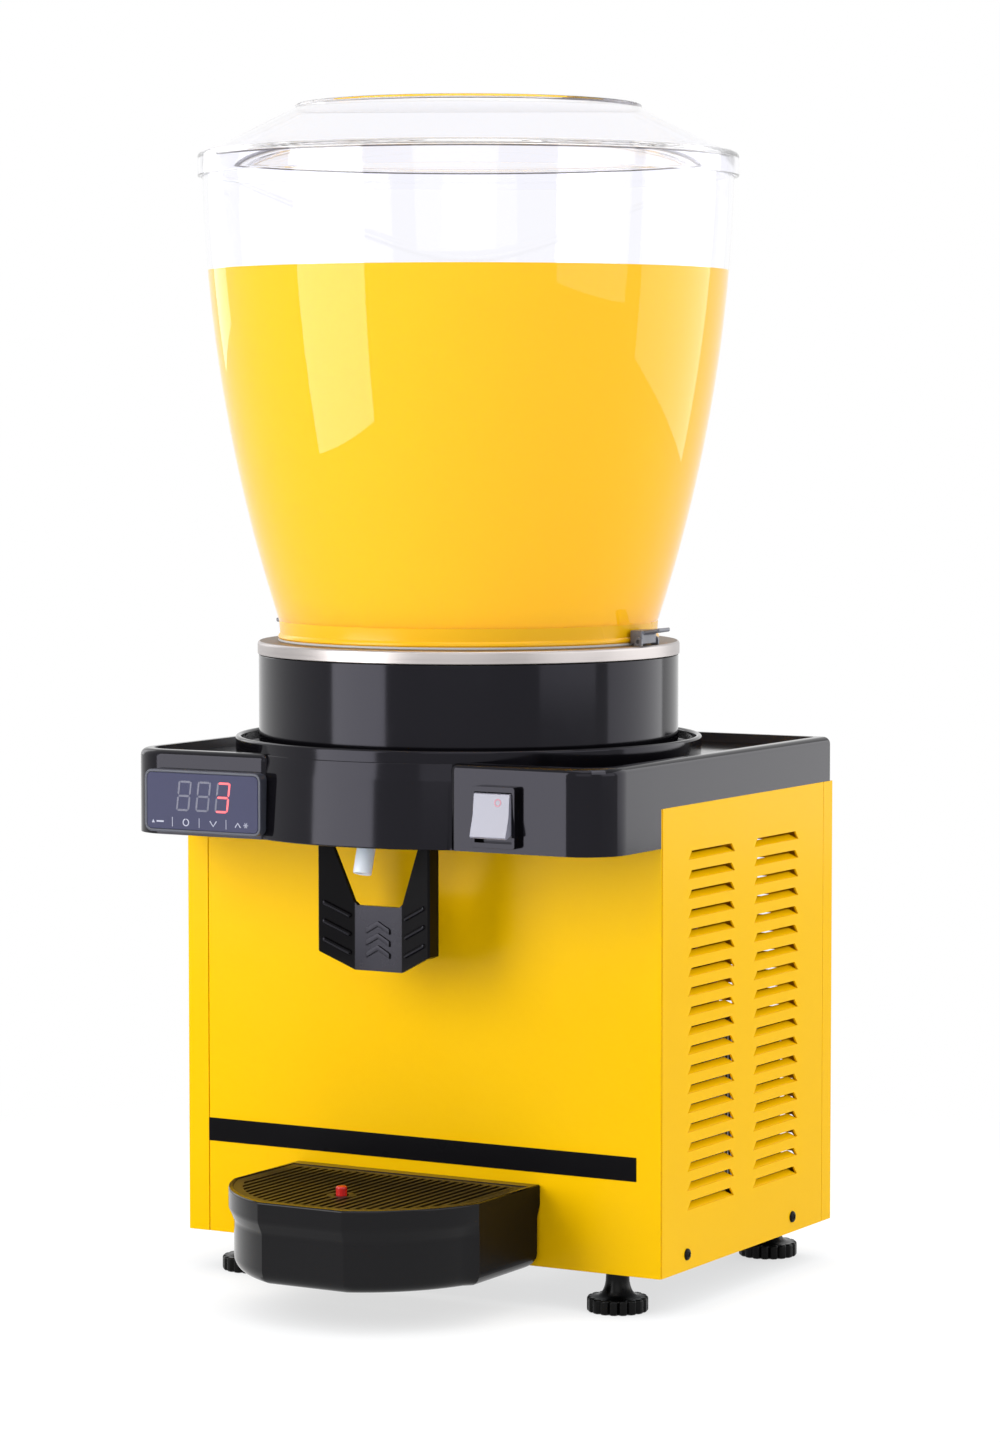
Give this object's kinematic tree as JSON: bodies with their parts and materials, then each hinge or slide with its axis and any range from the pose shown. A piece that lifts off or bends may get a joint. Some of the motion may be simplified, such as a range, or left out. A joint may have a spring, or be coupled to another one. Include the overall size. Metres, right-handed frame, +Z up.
{
  "type": "cold drink dispenser",
  "caption": "Countertop cold drink dispenser: clear tapered bowl on a chilled pan, sprung pinch tap lever, lift-off drip tray and a louvred cooling cabinet on levelling feet.",
  "frame": {"origin": "on the floor under the middle of the outline", "axes": "+Z up, the tap and drip tray face -Y, the louvred side panel faces +X"},
  "size_m": [0.3032, 0.338, 0.6496],
  "materials": {
    "yellow_paint": "glossy powder coat",
    "gloss_black": "polished moulding",
    "matt_black": "fine grain moulding",
    "screw_black": "black oxide",
    "stainless": "fine brushed",
    "zinc_steel": "zinc plated",
    "clear_plastic": "clear polished",
    "seal_rubber": "soft",
    "mount_rubber": "soft",
    "silicone": "milky silicone",
    "clip_grey": "satin",
    "display": "polished dark window",
    "rocker_white": "satin",
    "red_plastic": "polished",
    "white_plastic": "satin",
    "foam": "foamed",
    "copper": "drawn tube",
    "black_enamel": "black enamel",
    "motor_grey": "grey enamel",
    "fin_aluminium": "bare fin stock",
    "box_plastic": "moulded"
  },
  "bodies": {
    "cabinet": {"wrap_panel": "yellow_paint", "front_panel": "yellow_paint", "side_panel": "yellow_paint", "top_cover": "gloss_black", "collar": "gloss_black", "front_stripe": "gloss_black", "switch_frame": "gloss_black", "front_soffit": "matt_black", "tap_bracket": "matt_black", "controller_case": "matt_black", "cable_gland": "matt_black", "fan_shroud": "matt_black", "panel_screws": "screw_black", "evaporator_pan": "stainless", "lever_pin": "stainless", "lever_spring": "stainless", "clip_pins": "stainless", "base_pan": "zinc_steel", "deck_plate": "zinc_steel", "foot_nuts": "zinc_steel", "tray_hook": "zinc_steel", "pump_mounts": "mount_rubber", "outlet_tube": "silicone", "controller_window": "display", "pan_insulation": "foam", "cooling_coil": "copper", "discharge_line": "copper", "liquid_line": "copper", "suction_line": "copper", "capillary_line": "copper", "filter_dryer": "copper", "compressor": "black_enamel", "stir_motor": "motor_grey", "fan_motor": "motor_grey", "condenser": "fin_aluminium", "control_box": "box_plastic"},
    "bowl": {"bowl": "clear_plastic", "bowl_seal": "seal_rubber"},
    "lid": {"lid": "clear_plastic"},
    "clip_left": {"clip_left": "clip_grey"},
    "clip_right": {"clip_right": "clip_grey"},
    "lever": {"tap_lever": "matt_black"},
    "rocker": {"switch_rocker": "rocker_white"},
    "tray": {"drip_tray": "gloss_black"},
    "grid": {"tray_grid": "matt_black"},
    "level": {"level_float": "red_plastic"},
    "paddle": {"paddle": "white_plastic"},
    "drive": {"magnet_drive": "zinc_steel"},
    "fan": {"fan_blade": "matt_black"},
    "foot_fl": {"foot_front_left": "matt_black"},
    "foot_fr": {"foot_front_right": "matt_black"},
    "foot_rl": {"foot_rear_left": "matt_black"},
    "foot_rr": {"foot_rear_right": "matt_black"}
  },
  "joints": [
    {"name": "bowl_lift", "type": "slide", "parent": "cabinet", "child": "bowl", "axis": [0, 0, 1], "range_m": [0, 0.12]},
    {"name": "lid_lift", "type": "slide", "parent": "bowl", "child": "lid", "axis": [0, 0, 1], "range_m": [0, 0.1]},
    {"name": "clip_right_swing", "type": "hinge", "parent": "cabinet", "child": "clip_right", "pos_m": [0.1115, 0.0075, 0.3583], "axis": [0, 1, 0], "range_deg": [0, 25]},
    {"name": "clip_left_swing", "type": "hinge", "parent": "cabinet", "child": "clip_left", "pos_m": [-0.1115, 0.0075, 0.3583], "axis": [0, -1, 0], "range_deg": [0, 25]},
    {"name": "lever_push", "type": "hinge", "parent": "cabinet", "child": "lever", "pos_m": [0, -0.088, 0.262], "axis": [1, 0, 0], "range_deg": [0, 18], "stiffness_Nm_per_rad": 0.6, "deforming": ["lever_spring"]},
    {"name": "rocker_tip", "type": "hinge", "parent": "cabinet", "child": "rocker", "pos_m": [0.0866, -0.1134, 0.271], "axis": [1, 0, 0], "range_deg": [0, 24]},
    {"name": "tray_lift", "type": "slide", "parent": "cabinet", "child": "tray", "axis": [0, 0, 1], "range_m": [0, 0.04]},
    {"name": "grid_lift", "type": "slide", "parent": "tray", "child": "grid", "axis": [0, 0, 1], "range_m": [0, 0.05]},
    {"name": "level_rise", "type": "slide", "parent": "tray", "child": "level", "axis": [0, 0, 1], "range_m": [0, 0.008]},
    {"name": "drive_spin", "type": "hinge", "parent": "cabinet", "child": "drive", "pos_m": [0, 0.0075, 0.295], "axis": [0, 0, 1], "continuous": true},
    {"name": "paddle_spin", "type": "hinge", "parent": "cabinet", "child": "paddle", "pos_m": [0, 0.0075, 0.31], "axis": [0, 0, 1], "continuous": true},
    {"name": "fan_spin", "type": "hinge", "parent": "cabinet", "child": "fan", "pos_m": [0.082, 0.058, 0.09], "axis": [1, 0, 0], "continuous": true},
    {"name": "foot_fl_turn", "type": "hinge", "parent": "cabinet", "child": "foot_fl", "pos_m": [-0.117, -0.0346, 0.01], "axis": [0, 0, 1], "continuous": true},
    {"name": "foot_fr_turn", "type": "hinge", "parent": "cabinet", "child": "foot_fr", "pos_m": [0.117, -0.0346, 0.01], "axis": [0, 0, 1], "continuous": true},
    {"name": "foot_rl_turn", "type": "hinge", "parent": "cabinet", "child": "foot_rl", "pos_m": [-0.117, 0.1466, 0.01], "axis": [0, 0, 1], "continuous": true},
    {"name": "foot_rr_turn", "type": "hinge", "parent": "cabinet", "child": "foot_rr", "pos_m": [0.117, 0.1466, 0.01], "axis": [0, 0, 1], "continuous": true}
  ],
  "couplings": [
    {"joint": "paddle_spin", "follows": "drive_spin", "ratio": 1}
  ]
}
